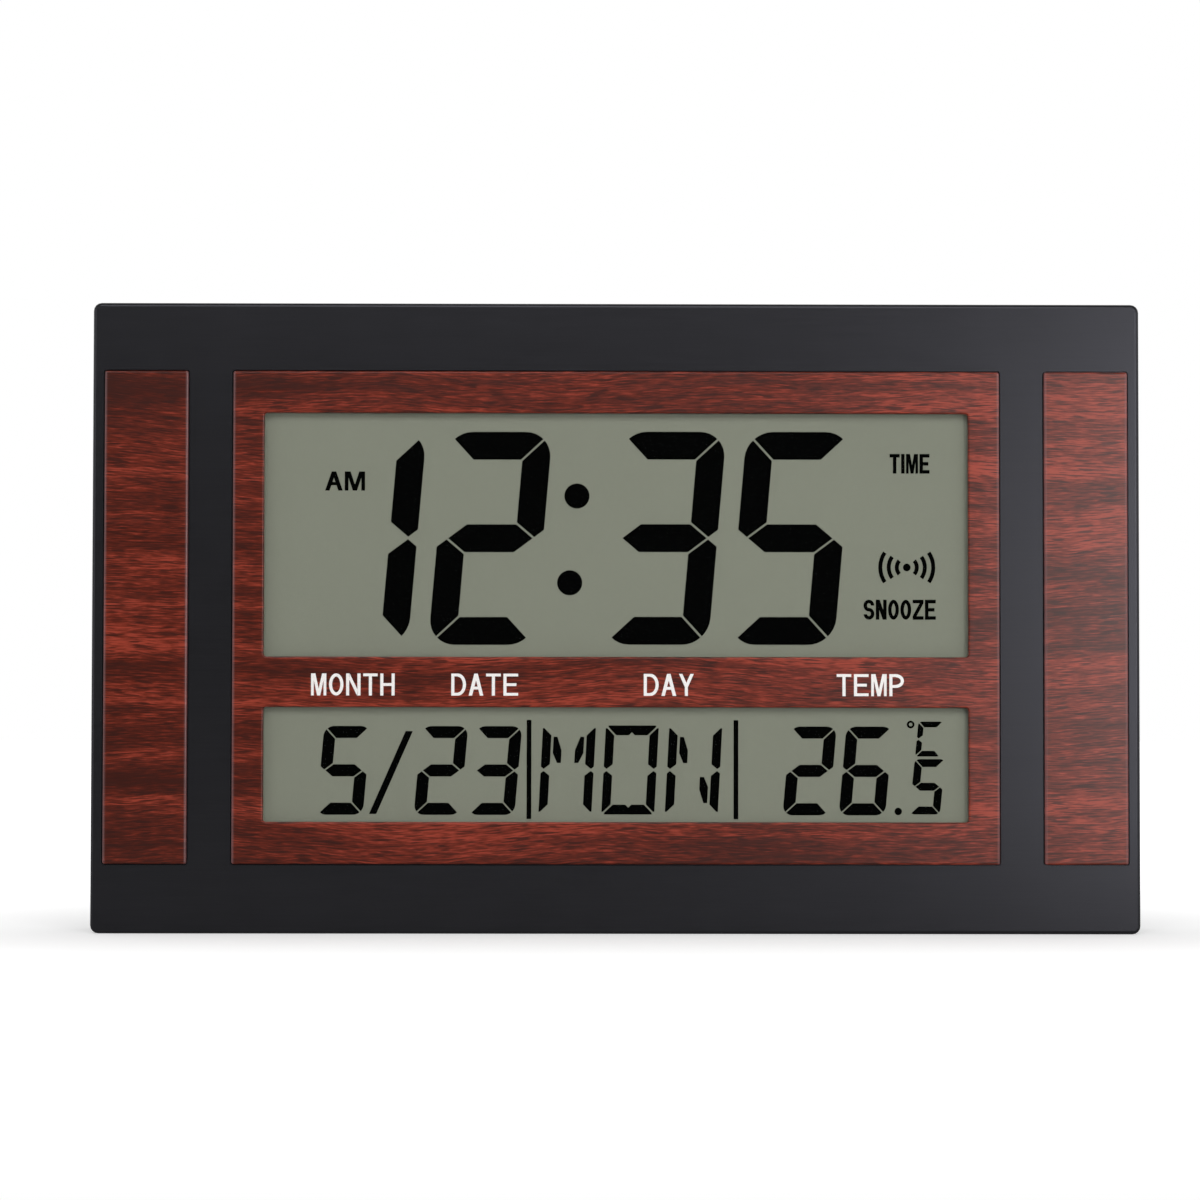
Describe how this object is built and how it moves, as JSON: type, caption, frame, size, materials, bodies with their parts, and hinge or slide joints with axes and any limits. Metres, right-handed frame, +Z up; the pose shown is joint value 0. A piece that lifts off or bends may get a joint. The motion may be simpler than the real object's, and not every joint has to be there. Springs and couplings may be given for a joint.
{
  "type": "digital alarm clock",
  "caption": "Digital wall and desk alarm clock: black moulded case, wood-grain front panels, large LCD for time, date and temperature, rear keys, fold-out leg, keyhole and battery door.",
  "frame": {"origin": "under the middle of the case, on the surface that the clock stands on", "axes": "+X to the right as seen by a viewer of the display, +Y from the display towards the back, +Z up"},
  "size_m": [0.26, 0.027, 0.1564],
  "materials": {
    "black_plastic": "satin moulded black with a very fine texture",
    "wood_grain": "plastic panel with a glossy red-brown wood-grain film",
    "lens_clear": "clear polished acrylic",
    "lcd_grey": "grey-green polarising film, matte",
    "lcd_glass": "clear display glass",
    "reflector_film": "silvered film",
    "grey_plastic": "grey moulding",
    "zebra_rubber": "striped conducting elastomer",
    "board_green": "green solder mask",
    "epoxy_black": "black epoxy or moulded component body",
    "key_grey": "dark grey moulded key",
    "cell_jacket": "plain printed jacket on a metal can",
    "steel": "plated steel",
    "contact_brass": "bare brass strip",
    "sheath_red": "red insulation",
    "sheath_black": "black insulation"
  },
  "bodies": {
    "clock_body": {"front_case": "black_plastic", "wood_bezel": "wood_grain", "wood_strip_left": "wood_grain", "wood_strip_right": "wood_grain", "display_lens": "lens_clear", "lcd_polariser": "lcd_grey", "lcd_front_glass": "lcd_glass", "lcd_rear_glass": "lcd_glass", "lcd_reflector": "reflector_film", "lcd_retainer": "grey_plastic", "zebra_strip": "zebra_rubber", "circuit_board": "board_green", "clock_chip": "epoxy_black", "quartz_crystal": "steel", "capacitor": "epoxy_black", "buzzer": "epoxy_black", "thermistor": "epoxy_black", "switch_mode": "epoxy_black", "switch_set": "epoxy_black", "switch_up": "epoxy_black", "switch_down": "epoxy_black", "switch_snooze": "epoxy_black", "rear_cover": "black_plastic", "battery_lower": "cell_jacket", "battery_upper": "cell_jacket", "contact_negative": "steel", "contact_positive": "contact_brass", "contact_bridge": "steel", "lead_red": "sheath_red", "lead_black": "sheath_black", "case_screw_1": "steel", "case_screw_2": "steel", "case_screw_3": "steel", "case_screw_4": "steel", "case_screw_5": "steel", "case_screw_6": "steel", "retainer_screw_1": "steel", "retainer_screw_2": "steel", "retainer_screw_3": "steel", "retainer_screw_4": "steel", "board_screw_1": "steel", "board_screw_2": "steel", "board_screw_3": "steel", "board_screw_4": "steel"},
    "stand": {"stand_leg": "black_plastic"},
    "door": {"battery_door": "black_plastic"},
    "mode_key": {"key_mode": "key_grey", "plunger_mode": "key_grey"},
    "set_key": {"key_set": "key_grey", "plunger_set": "key_grey"},
    "up_key": {"key_up": "key_grey", "plunger_up": "key_grey"},
    "down_key": {"key_down": "key_grey", "plunger_down": "key_grey"},
    "snooze_key": {"key_snooze": "key_grey", "plunger_snooze": "key_grey"}
  },
  "joints": [
    {"name": "stand_hinge", "type": "hinge", "parent": "clock_body", "child": "stand", "pos_m": [0, 0.01075, 0.08], "axis": [1, 0, 0], "range_deg": [0, 30]},
    {"name": "door_hinge", "type": "hinge", "parent": "clock_body", "child": "door", "pos_m": [0.0659, 0.01325, 0.0358], "axis": [-1, 0, 0], "range_deg": [0, 75]},
    {"name": "mode_press", "type": "slide", "parent": "clock_body", "child": "mode_key", "axis": [0, -1, 0], "range_m": [0, 0.0005], "stiffness_N_per_m": 800},
    {"name": "set_press", "type": "slide", "parent": "clock_body", "child": "set_key", "axis": [0, -1, 0], "range_m": [0, 0.0005], "stiffness_N_per_m": 800},
    {"name": "up_press", "type": "slide", "parent": "clock_body", "child": "up_key", "axis": [0, -1, 0], "range_m": [0, 0.0005], "stiffness_N_per_m": 800},
    {"name": "down_press", "type": "slide", "parent": "clock_body", "child": "down_key", "axis": [0, -1, 0], "range_m": [0, 0.0005], "stiffness_N_per_m": 800},
    {"name": "snooze_press", "type": "slide", "parent": "clock_body", "child": "snooze_key", "axis": [0, -1, 0], "range_m": [0, 0.0005], "stiffness_N_per_m": 800}
  ]
}
